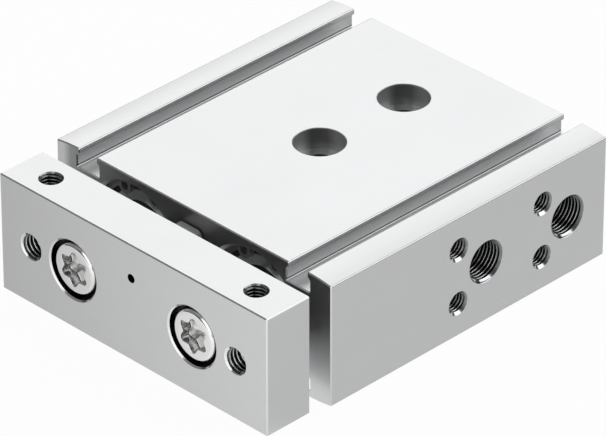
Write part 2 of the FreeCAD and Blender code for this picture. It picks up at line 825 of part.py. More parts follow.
def make_yoke_screw(name, side):
    """A pan-head screw with a six-lobe socket, from the plate's face into the rod."""
    body = new_body(f"yoke_screw_{name}", side)
    head = DIM.screw_head_diameter / 2
    shank = DIM.screw_thread_diameter / 2
    top = SCREW_SEAT - DIM.screw_head_height
    chamfer = DIM.turned_chamfer
    turn(body, f"yoke_screw_{name}_turned", [
        (0, top),
        (head - DIM.screw_head_round, top, DIM.screw_head_round),
        (head, top + DIM.screw_head_round),
        (head, SCREW_SEAT),
        (shank, SCREW_SEAT),
        (shank, SCREW_TIP - chamfer),
        (shank - chamfer, SCREW_TIP),
        (0, SCREW_TIP),
    ])
    reach = DIM.lobe_socket_across / 2 - DIM.lobe_radius
    core = [circle(0, 0, reach)]
    profile = draw_across(body, f"socket_core_{name}", core, top)
    pocket(body, f"socket_core_cut_{name}", profile, DIM.lobe_socket_depth)
    angles = [2 * math.pi * (step + 0.5) / LOBES for step in range(LOBES)]
    lobes = [circle(reach * math.cos(angle), reach * math.sin(angle), DIM.lobe_radius) for angle in angles]
    profile = draw_across(body, f"socket_lobes_{name}", lobes, top)
    pocket(body, f"socket_lobes_cut_{name}", profile, DIM.lobe_socket_depth)


def make_stop_bumper():
    """The elastic pad on the plate's back, held by a peg in the plate's small hole."""
    body = new_body("stop_bumper")
    half_width = DIM.bumper_width / 2
    half_height = DIM.bumper_height / 2
    low = DIM.bumper_rise - half_height
    high = DIM.bumper_rise + half_height
    loop = rectangle(-half_width, half_width, low, high)
    thickness = DIM.plate_gap - DIM.stop_clearance
    profile = draw_across(body, "bumper_outline", [loop], -DIM.stop_clearance)
    pad(body, "bumper_pad", profile, thickness)
    dress(body, "Fillet", "bumper_corners", along_depth((half_width, high), (half_width, -low)),
          DIM.bumper_round)
    peg = [circle(0, DIM.bumper_rise, DIM.peg_hole_diameter / 2 - DIM.running_clearance)]
    pad(body, "bumper_peg", draw_across(body, "peg_circle", peg, PLATE_BACK), DIM.peg_length)


def make_bore_pieces(name, side):
    """All that one bore holds, fixed and moving."""
    make_bearing_cap(name, side)
    make_rod_wiper(name, side)
    make_rod_bush(name, side)
    make_rod_seal(name, side)
    make_o_ring(f"cap_o_ring_{name}", side, CAP_BACK)
    make_circlip(f"front_circlip_{name}", side, CAP_FRONT)
    make_cushion(f"front_cushion_{name}", side, CAP_BACK)
    make_cushion(f"rear_cushion_{name}", side, REAR_CUSHION_FRONT)
    make_end_cap(name, side)
    make_o_ring(f"end_cap_o_ring_{name}", side, END_CAP_BACK)
    make_circlip(f"rear_circlip_{name}", side, END_CAP_BACK + DIM.circlip_thickness)
    make_piston_rod(name, side)
    make_piston(name, side)
    make_piston_seal(name, side)
    make_piston_ring("piston_magnet", name, side, 1, SEAL_FLOOR + DIM.fit_clearance,
                     PISTON_RADIUS - DIM.ring_side_gap)
    make_piston_ring("piston_wear_ring", name, side, 2, WEAR_FLOOR + DIM.fit_clearance,
                     BORE_RADIUS - DIM.running_clearance)
    make_piston_nut(name, side)
    make_yoke_screw(name, side)


def check_document():
    """Stop if any object failed or any body is not one valid solid."""
    DOC.recompute()
    for item in DOC.Objects:
        if "Invalid" in item.State or "Error" in item.State:
            raise RuntimeError(f"{item.Label} failed: {item.State}")
    bodies = [item for item in DOC.Objects if item.TypeId == "PartDesign::Body"]
    for body in bodies:
        shape = body.Shape
        if shape.isNull() or not shape.isValid() or len(shape.Solids) != 1:
            raise RuntimeError(f"{body.Label} is not one valid solid")
    return bodies


def main():
    make_housing()
    make_yoke_plate()
    make_stop_bumper()
    for name, side in each_side():
        make_bore_pieces(name, side)
    bodies = check_document()
    os.makedirs("parts", exist_ok=True)
    for body in bodies:
        body.Shape.exportStep(os.path.join("parts", f"{body.Label}.step"))


main()
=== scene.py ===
import json
import math
from contextlib import contextmanager
from typing import NamedTuple

import bmesh
import bpy
from mathutils import Matrix, Vector


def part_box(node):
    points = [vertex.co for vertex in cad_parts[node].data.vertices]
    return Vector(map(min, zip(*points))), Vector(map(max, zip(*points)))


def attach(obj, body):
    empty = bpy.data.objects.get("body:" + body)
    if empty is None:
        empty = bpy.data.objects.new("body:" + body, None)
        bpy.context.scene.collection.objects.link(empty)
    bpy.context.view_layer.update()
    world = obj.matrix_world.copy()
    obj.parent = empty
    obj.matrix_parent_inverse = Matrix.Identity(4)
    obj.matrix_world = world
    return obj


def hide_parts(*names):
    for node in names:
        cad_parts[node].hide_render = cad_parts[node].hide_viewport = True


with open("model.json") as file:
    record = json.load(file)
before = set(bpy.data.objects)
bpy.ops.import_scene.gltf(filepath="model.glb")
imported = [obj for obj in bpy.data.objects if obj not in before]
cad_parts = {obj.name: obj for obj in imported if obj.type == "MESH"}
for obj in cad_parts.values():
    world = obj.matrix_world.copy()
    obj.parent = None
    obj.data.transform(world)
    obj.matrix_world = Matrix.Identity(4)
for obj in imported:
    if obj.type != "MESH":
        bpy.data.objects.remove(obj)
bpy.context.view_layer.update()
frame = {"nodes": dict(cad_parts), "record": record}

bl_info = {
    "name": "Double Piston Cylinder",
    "version": (1, 0, 0),
    "blender": (4, 5, 0),
    "location": "View3D > Sidebar > Cylinder",
    "description": "Dresses the packed cylinder with threads, screws, rubber parts, finishes and a stage",
    "category": "Object",
}

MM = 0.001
NEAR = 0.001 * MM
NODES = frame["nodes"]
MOUNTS = {mount["name"]: mount for mount in frame["record"]["mounts"]}
NODE_SLOTS = {part["node"]: part["material_slot"] for part in frame["record"]["subparts"]}
SIDES = ("left", "right")
ALONG_X, ALONG_Y, ALONG_Z = Vector((1, 0, 0)), Vector((0, 1, 0)), Vector((0, 0, 1))


def length(name, description, millimetres):
    """A length, given here in millimetres."""
    return bpy.props.FloatProperty(name=name, description=description, default=millimetres * MM,
                                   min=0.0, precision=5, unit="LENGTH")


def angle(name, description, degrees):
    """An angle, given here in degrees."""
    return bpy.props.FloatProperty(name=name, description=description, default=math.radians(degrees),
                                   subtype="ANGLE")


def level(name, description, default):
    """Light on a facing surface, where 1 shows a colour as it is written."""
    return bpy.props.FloatProperty(name=name, description=description, default=default, min=0.0)


def share(name, description, default):
    """A share of a whole, or a brightness where 1 is white."""
    return bpy.props.FloatProperty(name=name, description=description, default=default, min=0.0, max=1.0,
                                   subtype="FACTOR")


def colour(name, description, default):
    """A colour in linear values."""
    return bpy.props.FloatVectorProperty(name=name, description=description, default=default, min=0.0,
                                         max=1.0, subtype="COLOR")


class ThreadSizes(bpy.types.PropertyGroup):
    """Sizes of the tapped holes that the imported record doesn't give."""

    side_pitch: length("Side pitch", "Pitch of the mounting threads on the housing's sides", 0.8)
    side_mouth: length("Side mouth", "Widest diameter of their mouth cones", 5.55)
    side_reach: length("Side reach", "How deep they are tapped", 7.6)
    side_turn: angle("Side turn", "Where their ridges start around the hole", 0.0)
    top_pitch: length("Top pitch", "Pitch of the threads in the plate's top edge", 0.8)
    top_mouth: length("Top mouth", "Widest diameter of their mouth cones", 5.35)
    top_reach: length("Top reach", "How deep they are tapped", 7.6)
    top_turn: angle("Top turn", "Where their ridges start around the hole", 0.0)
    face_pitch: length("Face pitch", "Pitch of the threads through the plate", 1.0)
    face_mouth: length("Face mouth", "Widest diameter of their mouth cones", 6.3)
    face_turn: angle("Face turn", "Where their ridges start around the hole", 190.0)
    port_pitch: length("Port pitch", "Pitch of the air ports' pipe threads", 0.907)
    port_mouth: length("Port mouth", "Widest diameter of their mouth cones", 9.9)
    port_reach: length("Port reach", "How deep they are tapped", 7.3)
    port_turn: angle("Port turn", "Where their ridges start around the hole", 180.0)
    root_cover: length("Root cover", "How far a ridge's foot lies in the wall that carries it", 0.03)


class ScrewSizes(bpy.types.PropertyGroup):
    """Sizes of the yoke screws."""

    head_height: length("Head height", "From the seat to the top of the head", 4.7)
    head_round: length("Head round", "Rounding of the head's rim", 1.1)
    shank_diameter: length("Shank diameter", "Diameter of the thread that goes into the rod", 8.0)
    tip_chamfer: length("Tip chamfer", "Chamfer at the end of the shank", 0.5)
    lobe_reach: length("Lobe reach", "From the socket's middle to the corners that shape its lobes", 4.18)
    waist_reach: length("Waist reach", "From the middle to the corners between the lobes", 2.95)
    socket_depth: length("Socket depth", "Depth of the six-lobe socket", 2.5)
    socket_cone: length("Socket cone", "Further depth of the cone in the socket's floor", 0.15)
    edge_round: length("Edge round", "Rounding of the edges that the socket leaves", 0.25)


class RubberSizes(bpy.types.PropertyGroup):
    """Sizes of the soft pieces that show."""

    bumper_round: length("Bumper round", "Rounding of the pad's corners", 1.5)
    bumper_edge: length("Bumper edge", "Rounding of the pad's free edges", 0.2)
    peg_diameter: length("Peg diameter", "Diameter of the peg that holds the pad", 1.95)
    wiper_heel: length("Wiper heel", "Gap between the rod and the wiper's heel", 0.6)
    wiper_lip: length("Wiper lip", "Gap between the rod and the wiper's lip", 0.05)
    wiper_round: length("Wiper round", "Rounding of the wiper's moulded edges", 0.16)


class FinishColours(bpy.types.PropertyGroup):
    """Colours of the finishes."""

    housing: colour("Housing", "Anodised extrusion", (0.75, 0.755, 0.76))
    plate: colour("Plate", "Brushed and anodised plate", (0.75, 0.755, 0.76))
    # The cut metal's dark colour is painted shade on the thread flanks; thread_zones lifts the crests and
    # cones with painted highlights
    cut: colour("Cut metal", "Oily flanks of the cut threads", (0.15, 0.152, 0.155))
    turned: colour("Turned metal", "Turned caps and pistons", (0.56, 0.565, 0.57))
    chrome: colour("Chrome", "Ground and chromed rods", (0.66, 0.665, 0.675))
    plated: colour("Plated steel", "Bright plated screws and nuts", (0.95, 0.95, 0.945))
    spring: colour("Spring steel", "Dark phosphated rings", (0.30, 0.30, 0.30))
    rubber: colour("Rubber", "Black sealing rubber", (0.016, 0.016, 0.017))
    cushion: colour("Cushion", "Elastic stops inside the bores", (0.09, 0.09, 0.10))
    bumper: colour("Bumper", "Grey elastic pad", (0.42, 0.42, 0.425))
    bronze: colour("Bronze", "Sintered bearing bronze", (0.50, 0.30, 0.13))
    magnet: colour("Magnet", "Bonded magnet", (0.045, 0.043, 0.042))
    guide: colour("Guide", "Filled guide ring", (0.14, 0.12, 0.10))
    floor: colour("Floor", "Pale studio floor", (0.97, 0.97, 0.97))


class FinishSizes(bpy.types.PropertyGroup):
    """Radii and depths that bound the places where a finish changes and where light or shade is painted.
    """

    tap_reach: length("Tap reach", "Around the small threads", 2.8)
    face_tap_reach: length("Face tap reach", "Around the threads in the plate's face", 3.2)
    port_reach: length("Port reach", "Around the air ports", 4.93)
    seat_reach: length("Seat reach", "Around the mounting holes' seats", 5.72)
    screw_seat_reach: length("Screw seat reach", "Around the yoke screws' seats", 7.2)
    seat_mouth: length("Seat mouth", "Depth of the yoke screws' chamfered seat mouths", 0.36)
    peg_reach: length("Peg reach", "Around the bumper's peg hole", 1.05)
    tap_mouth: length("Tap mouth", "Depth of the cones at the threads' mouths", 0.28)
    slot_start: length("Slot start", "From the middle to the near wall of the sensor slots", 26.5)
    slot_end: length("Slot end", "From the middle to the far wall of the sensor slots", 35.5)
    slot_depth: length("Slot depth", "Depth of the sensor slots, with some to spare", 5.2)
    slot_lip: length("Slot lip", "Depth at which the slots' rounded lips end", 0.6)
    slot_floor: length("Slot floor", "Depth of the slots' floors", 4.6)
    # The dark line at a slot's foot is painted shade
    slot_foot: length("Slot foot", "Height of the dark line at the foot of a slot's wall", 0.26)
    slot_round: length("Slot round", "Rounding between a slot's wall and its floor", 0.2)
    bore_reach: length("Bore reach", "Around the mouths of the bores", 13.6)
    cap_reach: length("Cap reach", "From a rod's middle to the rim behind the retaining ring", 9.9)
    # Where the painted reflection on the left rail's end starts to pale and is palest
    rail_start: length("Rail start", "From the left side to where the rail's end starts to pale", 6.5)
    rail_end: length("Rail end", "From the left side to where that end is palest", 2.0)


class StageSizes(bpy.types.PropertyGroup):
    """Camera, lamps and floor."""

    eye: bpy.props.FloatVectorProperty(name="Eye", description="Place of the camera", unit="LENGTH",
                                       default=(0.75807, -0.77381, 0.68927))
    azimuth: angle("Azimuth", "Turn of the camera about the upright", 45.061)
    elevation: angle("Elevation", "Height of the camera above the horizon", 32.252)
    roll: angle("Roll", "Turn of the camera about its own view", -0.066)
    lens: bpy.props.FloatProperty(name="Lens", description="Focal length on a 36 mm sensor", default=362.0)
    floor_width: length("Floor width", "Width of the floor", 8000.0)
    floor_gap: length("Floor gap", "Gap that keeps the floor off the underside", 0.05)
    floor_glow: share("Floor glow", "Share of plain white in the floor that is seen", 0.965)
    # The floor's painted light and shade, which only mirrors show, by place
    mirror_side: share("Mirror side", "Brightness of the floor that the right side mirrors", 0.67)
    mirror_left: share("Mirror left", "Brightness of the floor that the front's left end mirrors", 0.575)
    mirror_right: share("Mirror right", "Brightness of the floor that the front's right end mirrors", 0.84)
    mirror_near: share("Mirror near", "What the floor towards the camera has more", 0.16)
    left_start: length("Left start", "Start of the left end's floor, on the diagonal to the camera", 20.0)
    right_start: length("Right start", "Start of the right end's floor, on that diagonal", 100.0)
    near_start: length("Near start", "Start of the floor towards the camera, on that diagonal", 110.0)
    near_end: length("Near end", "Where it is brightest, on that diagonal", 170.0)
    side_end: length("Side end", "End of the right side's floor, on the other diagonal", 15.0)
    front_start: length("Front start", "Start of the front's floor, on the other diagonal", 30.0)
    room_level: share("Room level", "Brightness of the room's dim light", 0.06)
    ceiling_level: level("Ceiling level", "Light of the soft lamp overhead", 0.22)
    ceiling_spread: angle("Ceiling spread", "Width of that lamp as the object sees it", 106.0)
    ceiling_tilt: angle("Ceiling tilt", "Turn of that lamp from overhead", 22.0)
    ceiling_turn: angle("Ceiling turn", "Where it is turned to, from the rear towards the left", 20.0)
    back_level: level("Back level", "Light of the panel at the rear left, for the top faces", 0.17)
    back_spread: angle("Back spread", "Width of that panel as the object sees it", 48.0)
    back_tilt: angle("Back tilt", "Turn of that panel from overhead", 58.0)
    back_turn: angle("Back turn", "Where it is turned to, from the rear towards the left", 45.0)
    rear_level: level("Rear level", "Light of the panel at the rear right, for lips and cones", 0.22)
    rear_spread: angle("Rear spread", "Width of that panel as the object sees it", 56.0)
    rear_tilt: angle("Rear tilt", "Turn of that panel from overhead", 50.0)
    rear_turn: angle("Rear turn", "Where it is turned to, from the rear towards the left", -41.0)
    side_level: level("Side level", "Light of the lamp at the front right", 0.25)
    side_spread: angle("Side spread", "Width of that lamp as the object sees it", 60.0)
    side_tilt: angle("Side tilt", "Turn of that lamp from overhead", 62.0)
    side_turn: angle("Side turn", "Where it is turned to, from the rear towards the left", -154.0)
    fill_level: level("Fill level", "Light of the faint panel at the front left", 0.03)
    fill_spread: angle("Fill spread", "Width of that panel as the object sees it", 60.0)
    fill_tilt: angle("Fill tilt", "Turn of that panel from overhead", 53.0)
    fill_turn: angle("Fill turn", "Where it is turned to, from the rear towards the left", 131.0)


# Shading

# How squarely a flat faces along its axis, and where a lean counts first and in full
SQUARE = 0.97
LEANING = (0.15, 0.45)


class Grain(NamedTuple):
    """Noise in a finish: its cells to the metre, its detail, and its part in tone and roughness."""

    cells: float
    detail: float
    tone: float
    rough: float = 0.0


class Look(NamedTuple):
    """What a cut place with painted light or shade shows: a share of its finish's colour, and a roughness.
    """

    shade: float
    rough: float


class Value:
    """A node's output, whose arithmetic adds Math nodes."""

    def __init__(self, finish, socket):
        self.finish = finish
        self.socket = socket

    def __add__(self, other):
        return self.finish.math("ADD", self, other)

    def __sub__(self, other):
        return self.finish.math("SUBTRACT", self, other)

    def __rsub__(self, other):
        return self.finish.math("SUBTRACT", other, self)

    def __mul__(self, other):
        return self.finish.math("MULTIPLY", self, other)

    def __abs__(self):
        return self.finish.math("ABSOLUTE", self, 0.0)

    __radd__ = __add__
    __rmul__ = __mul__


class Finish:
    """A material under construction, with one node method for all but its arithmetic."""

    def __init__(self, name, **constants):
        self.material = bpy.data.materials.new(name)
        self.material.use_nodes = True
        self.tree = self.material.node_tree
        self.surface = self.tree.nodes["Principled BSDF"]
        for socket, value in constants.items():
            self.surface.inputs[socket.replace("_", " ").title()].default_value = value

    def node(self, kind, settings=None, sockets=None, output=0):
        """Add a node by its type, first with its settings, then with its sockets' values or links."""
        node = self.tree.nodes.new(f"ShaderNode{kind}")
        for name, value in (settings or {}).items():
            setattr(node, name, value)
        for name, value in (sockets or {}).items():
            if isinstance(value, Value):
                self.tree.links.new(value.socket, node.inputs[name])
            else:
                node.inputs[name].default_value = value
        return Value(self, node.outputs[output])

    def math(self, operation, first, second):
        """Add a Math node on two values or numbers."""
        return self.node("Math", {"operation": operation}, {0: first, 1: second})

    def place(self):
        """The spot on the object, in its own coordinates."""
        return self.node("TexCoord", output="Object")

    def even(self, grain, place=None):
        """Noise that is alike along all axes."""
        sockets = {"Vector": place or self.place(), "Scale": grain.cells, "Detail": grain.detail}
        return self.node("TexNoise", sockets=sockets)

    def stretched(self, grain, cells):
        """Noise that has so many cells to the metre along each axis, times those of its grain."""
        return self.even(grain, self.node("Mapping", sockets={"Vector": self.place(), "Scale": cells}))

    def axes(self):
        """The three coordinates, in metres."""
        place = self.place()
        return [self.node("SeparateXYZ", sockets={0: place}, output=axis) for axis in "XYZ"]

    def lean(self, axis):
        """How far the surface faces along an axis."""
        normal = self.node("TexCoord", output="Normal")
        return self.node("SeparateXYZ", sockets={0: normal}, output=axis)

    def facing(self, axis):
        """How far the surface faces along an axis, either way."""
        return abs(self.lean(axis))

    def toward(self, axis, sign):
        """1 where the surface leans to one side along an axis, 0 elsewhere."""
        return self.ramp(self.lean(axis) * sign, *LEANING)

    def along(self, axis, least=SQUARE):
        """1 where the surface faces along an axis, either way, 0 elsewhere."""
        return self.math("GREATER_THAN", self.facing(axis), least)

    def bore(self, across, up, radius):
        """1 within a circle, 0 outside it."""
        return self.math("LESS_THAN", across * across + up * up, radius * radius)

    def within(self, value, low, high):
        """1 where the value is between two limits, 0 elsewhere."""
        return self.math("GREATER_THAN", value, low) * self.math("LESS_THAN", value, high)

    def ramp(self, value, start, end, low=0.0, high=1.0):
        """A straight change from low at the start to high at the end."""
        return self.node("MapRange", sockets={"Value": value, "From Min": start, "From Max": end,
                                              "To Min": low, "To Max": high})

    def edges(self):
        """1 on rounds and chamfers, which face along no axis."""
        return self.math("LESS_THAN", self.either(*[self.facing(axis) for axis in "XYZ"]), SQUARE)

    def either(self, first, *others):
        """The largest of several masks."""
        for other in others:
            first = self.math("MAXIMUM", first, other)
        return first

    def tinted(self, base, tone):
        """A colour made lighter or darker by a tone around 1."""
        return self.node("VectorMath", {"operation": "SCALE"}, {0: tuple(base), "Scale": tone})

    def relief(self, height, depth):
        """The normal of a surface whose fine relief is so deep, in metres."""
        return self.node("Bump", sockets={"Height": height, "Strength": 1.0, "Distance": depth})

    def cover(self, shader, amount):
        """Lay another shader over the surface by a changing amount."""
        surface = Value(self, self.surface.outputs[0])
        mixed = self.node("MixShader", sockets={0: amount, 1: surface, 2: shader})
        self.tree.links.new(mixed.socket, self.tree.nodes["Material Output"].inputs["Surface"])

    def wear(self, **sockets):
        """Link what changes over the surface to the shader and hand the material back."""
        for name, value in sockets.items():
            self.tree.links.new(value.socket, self.surface.inputs[name.replace("_", " ").title()])
        return self.material


def swing(noise, amount):
    """Noise brought round to zero and as strong as the amount."""
    return (noise - 0.5) * amount


METAL_LINES = Grain(cells=1.0, detail=3.0, tone=1.0, rough=0.06)
METAL_GRAIN = Grain(cells=5200.0, detail=2.0, tone=0.7, rough=0.10)
METAL_CLOUD = Grain(cells=55.0, detail=4.0, tone=1.0, rough=0.10)


def metal_finish(name, base, lines, metallic, roughness, contrast=0.06, relief=2e-6, zones=None):
    """Satin metal with fine lines the way it was drawn, ground or turned, and a cloudy skin.

    Zones are a mask and a look for each place that is cut: bare metal, of another shine, with painted
    light and shade.
    """
    finish = Finish(name, metallic=metallic)
    marks = finish.stretched(METAL_LINES, lines)
    grain = finish.even(METAL_GRAIN)
    cloud = finish.even(METAL_CLOUD)
    tone, rough = 1.0, roughness
    for noise, part in ((marks, METAL_LINES), (grain, METAL_GRAIN), (cloud, METAL_CLOUD)):
        tone = tone + swing(noise, contrast * part.tone)
        rough = rough + swing(noise, part.rough)
    if zones:
        for mask, look in zones(finish):
            tone = tone * (1.0 + mask * (look.shade - 1.0))
            rough = rough + mask * (look.rough - rough)
            metallic = metallic + mask * (1.0 - metallic)
        finish.wear(metallic=metallic)
    return finish.wear(base_color=finish.tinted(base, tone), roughness=rough,
                       normal=finish.relief(marks + grain, relief))


# Depth that still belongs to an outer face
SKIN = 0.02 * MM

# Painted highlight on hole mouths; painted shade on top holes' mouths, on one side of a mouth, and inside
# holes
HOLE_MOUTH_HIGHLIGHT = Look(shade=1.22, rough=0.20)
TOP_HOLE_MOUTH_SHADE = Look(shade=0.60, rough=0.20)
DULL_SHADED_MOUTH = Look(shade=0.35, rough=0.30)
HOLE_INSIDE_SHADE = Look(shade=0.30, rough=0.16)
# Painted shade on the mounting seats' walls, and painted light on their sides and floors
SEAT_WALL_SHADE = Look(shade=0.34, rough=0.50)
SEAT_SIDE_LIGHT = Look(shade=2.7, rough=0.50)
SEAT_FLOOR_LIGHT = Look(shade=2.9, rough=0.45)
# Painted shade on the caps' rims behind the retaining rings
CAP_RIM_SHADE = Look(shade=0.12, rough=0.50)
# Painted shade on polished edges, and a painted highlight on edges that lean forwards
POLISHED_EDGE_SHADE = Look(shade=0.92, rough=0.20)
FRONT_EDGE_HIGHLIGHT = Look(shade=1.25, rough=0.22)

# Where a seat's wall starts to pale with painted light and is palest, in radii from its middle
SEAT_SIDE_REACH = (0.4, 1.2)


def cut_hole(finish, opening, depth, through, mouth, rim=HOLE_MOUTH_HIGHLIGHT):
    """A hole's mouth in its rim's painted light, a highlight unless another rim is given, and its inside
    in painted shade, short of the far face.

    The hole is given by a mask of its outline, the depth in it and how thick the metal is.
    """
    return [(opening * finish.within(depth, SKIN, mouth), rim),
            (opening * finish.within(depth, mouth, through - SKIN), HOLE_INSIDE_SHADE)]


def sunk_seats(finish, inside, sideways):
    """The mounting holes' walls in painted shade, paler to the sides with painted light, and their floors
    in painted light.
    """
    sides = finish.ramp(abs(sideways), *SEAT_SIDE_REACH)
    return [(inside, SEAT_WALL_SHADE), (inside * sides, SEAT_SIDE_LIGHT), (inside * finish.along("Z"), SEAT_FLOOR_LIGHT)]


def cap_zones(finish):
    """Painted shade on the caps' rims, which lie in the dark behind the retaining rings."""
    sizes = bpy.context.scene.finish_sizes
    x, _, z = finish.axes()
    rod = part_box("piston_rod_right")
    middle = (rod[0] + rod[1]) / 2
    return [(1.0 - finish.bore(abs(x) - middle.x, z - middle.z, sizes.cap_reach), CAP_RIM_SHADE)]


def broken_edges(finish, spared):
    """The polished rounds and chamfers outside the spared holes, in painted shade, and brighter with a
    painted highlight where they lean forwards.
    """
    edges = finish.edges() * (1.0 - spared)
    return [(edges, POLISHED_EDGE_SHADE), (edges * finish.toward("Y", -1.0), FRONT_EDGE_HIGHLIGHT)]


# Painted reflection on the milled ends: its shades, and the share of the height at which they are darkest
MILLED_FOOT_SHADE = 1.22
MILLED_HEAD_SHADE = 0.55
MILLED_RAIL_SHADE = 1.05
MILLED_ROUGHNESS = 0.32
MILLED_HEAD = 0.75

# Painted shade on the bores' mouths
BORE_MOUTH_SHADE = Look(shade=0.45, rough=0.30)
# Painted shade on the slots' walls and feet, a painted highlight on their corners, and painted light on
# their floors
SLOT_WALL_SHADE = Look(shade=0.74, rough=0.34)
SLOT_FOOT_SHADE = Look(shade=0.15, rough=0.30)
SLOT_CORNER_HIGHLIGHT = Look(shade=1.45, rough=0.20)
SLOT_FLOOR_LIGHT = Look(shade=1.32, rough=0.34)


def milled_painted_reflection(finish, x, z):
    """The housing's milled ends, with a painted reflection that is darker with height and paler on the
    left rail.
    """
    sizes = bpy.context.scene.finish_sizes
    low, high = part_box("housing")
    body = finish.ramp(z, low.z, high.z * MILLED_HEAD, MILLED_FOOT_SHADE, MILLED_HEAD_SHADE)
    rail = finish.ramp(x, low.x + sizes.rail_start, low.x + sizes.rail_end, 0.0, MILLED_RAIL_SHADE)
    return Look(finish.either(body, rail), MILLED_ROUGHNESS)


def slot_zones(finish, slots, deep):
    """The sensor slots' walls in painted shade, lines of painted shade at their feet, and their corners
    and floors in painted light.
    """
    sizes = bpy.context.scene.finish_sizes
    corner = sizes.slot_floor - sizes.slot_round
    floor = sizes.slot_floor - SKIN
    levels = [(sizes.slot_lip, sizes.slot_depth, SLOT_WALL_SHADE),
              (corner - sizes.slot_foot, corner, SLOT_FOOT_SHADE),
              (corner, floor, SLOT_CORNER_HIGHLIGHT),
              (floor, sizes.slot_depth, SLOT_FLOOR_LIGHT)]
    return [(slots * finish.within(deep, start, end), look) for start, end, look in levels]


def housing_zones(finish):
    """The housing's edges, milled ends, slots and holes, with their painted light and shade."""
    sizes = bpy.context.scene.finish_sizes
    x, y, z = finish.axes()
    low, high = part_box("housing")
    threads = MOUNTS["side_threads_right"]
    axis = threads["pos_m"][2]
    along, up = (threads["dims"][f"spacing_{name}_mm"] * MM / 2 for name in "xy")
    taps = finish.bore(abs(y) - along, abs(z - axis) - up, sizes.tap_reach)
    ports = [finish.bore(y - MOUNTS[name]["pos_m"][1], z - axis, sizes.port_reach)
             for name in ("front_port", "rear_port")]
    half = MOUNTS["base_bolts"]["dims"]["spacing_y_mm"] * MM / 2
    seats = finish.bore(x, abs(y) - half, sizes.seat_reach)
    sideways = (x + y - finish.math("SIGN", y, 0.0) * half) * (1.0 / sizes.seat_reach)
    inside = seats * finish.within(high.z - z, SKIN, high.z - low.z - SKIN)
    ends = finish.along("Y") * (1.0 - seats)
    slots = finish.within(abs(x), sizes.slot_start, sizes.slot_end) * (1.0 - ends)
    deep = (high.z - low.z) / 2 - abs(z - axis)
    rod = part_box("piston_rod_right")
    bores = finish.bore(abs(x) - (rod[0].x + rod[1].x) / 2, z - axis, sizes.bore_reach)
    holes = finish.either(taps, *ports)
    depth = high.x - abs(x)
    mouths = holes * finish.within(depth, SKIN, sizes.tap_mouth)
    return [*broken_edges(finish, seats), (ends, milled_painted_reflection(finish, x, z)),
            (bores * (1.0 - ends), BORE_MOUTH_SHADE), *slot_zones(finish, slots, deep),
            *cut_hole(finish, holes, depth, high.x, sizes.tap_mouth),
            (mouths * finish.toward("Y", -1.0), DULL_SHADED_MOUTH), *sunk_seats(finish, inside, sideways)]


def plate_zones(finish):
    """The plate's edges, screw seats, threads and peg hole, with their painted light and shade."""
    sizes = bpy.context.scene.finish_sizes
    x, y, z = finish.axes()
    low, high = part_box("yoke_plate")
    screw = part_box("yoke_screw_right")
    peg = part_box("stop_bumper")
    axis = (low.z + high.z) / 2
    half = MOUNTS["yoke_face_threads"]["dims"]["spacing_x_mm"] * MM / 2
    seats = finish.bore(abs(x) - (screw[0].x + screw[1].x) / 2, z - axis, sizes.screw_seat_reach)
    taps = finish.bore(abs(x) - half, z - axis, sizes.face_tap_reach)
    pin = finish.bore(x, z - (peg[0].z + peg[1].z) / 2, sizes.peg_reach)
    top_taps = finish.bore(abs(x) - half, y - MOUNTS["yoke_top_threads"]["pos_m"][1], sizes.tap_reach)
    depth = y - low.y
    through = high.y - low.y
    return [*broken_edges(finish, seats),
            *cut_hole(finish, finish.either(taps, pin), depth, through, sizes.tap_mouth),
            *cut_hole(finish, seats, depth, through, sizes.seat_mouth),
            *cut_hole(finish, top_taps, high.z - z, high.z - low.z, sizes.tap_mouth, TOP_HOLE_MOUTH_SHADE)]


# How far a thread's crests and its mouth's cone face along it
CREST_FACING = (0.25, 0.60)
CONE_FACING = (0.60, 0.80)

# Painted highlights on the crests and cones of the side, face and port threads, and of the top threads
SIDE_CREST_HIGHLIGHT = Look(shade=5.6, rough=0.12)
TOP_CREST_HIGHLIGHT = Look(shade=2.0, rough=0.12)


def thread_zones(finish, axis):
    """Painted highlights on a thread's crests along an axis and on the cone that its mouth cuts in it, and
    painted shade on one side of that cone.
    """
    facing = finish.facing(axis)
    crest = finish.within(facing, *CREST_FACING)
    cone = finish.within(facing, *CONE_FACING)
    shaded_side = finish.toward("Y" if axis == "X" else "X", -1.0)
    bright = TOP_CREST_HIGHLIGHT if axis == "Z" else SIDE_CREST_HIGHLIGHT
    return [(finish.either(crest, cone), bright), (cone * shaded_side, DULL_SHADED_MOUTH)]


# Painted shade on the screws' flats and sockets' walls, and painted light on the sockets' floors
SCREW_FLAT_SHADE = Look(shade=0.94, rough=0.24)
SOCKET_WALL_SHADE = Look(shade=0.50, rough=0.15)
SOCKET_FLOOR_LIGHT = Look(shade=2.1, rough=0.20)
SOCKET_FLOOR_FACING = 0.5


def screw_zones(finish):
    """The screws' flat heads, rougher and in painted shade, and their sockets' walls in painted shade and
    floors in painted light.
    """
    sizes = bpy.context.scene.screw_sizes
    x, y, z = finish.axes()
    low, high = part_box("yoke_screw_right")
    middle = (low + high) / 2
    socket = finish.bore(abs(x) - middle.x, z - middle.z, sizes.lobe_reach)
    sunk = socket * finish.within(y - low.y, sizes.edge_round, sizes.socket_depth + sizes.socket_cone)
    floor = sunk * finish.along("Y", SOCKET_FLOOR_FACING)
    return [(finish.along("Y"), SCREW_FLAT_SHADE), (sunk, SOCKET_WALL_SHADE), (floor, SOCKET_FLOOR_LIGHT)]


RUBBER_PITS = Grain(cells=4200.0, detail=2.0, tone=0.35, rough=0.20)
RUBBER_BLOOM = Grain(cells=240.0, detail=4.0, tone=0.45, rough=0.16)
RUBBER_RELIEF = 8e-6
POWDER_PORES = Grain(cells=7000.0, detail=3.0, tone=0.5, rough=0.3)
POWDER_FLECKS = Grain(cells=1600.0, detail=2.0, tone=0.25)
POWDER_RELIEF = 1e-5


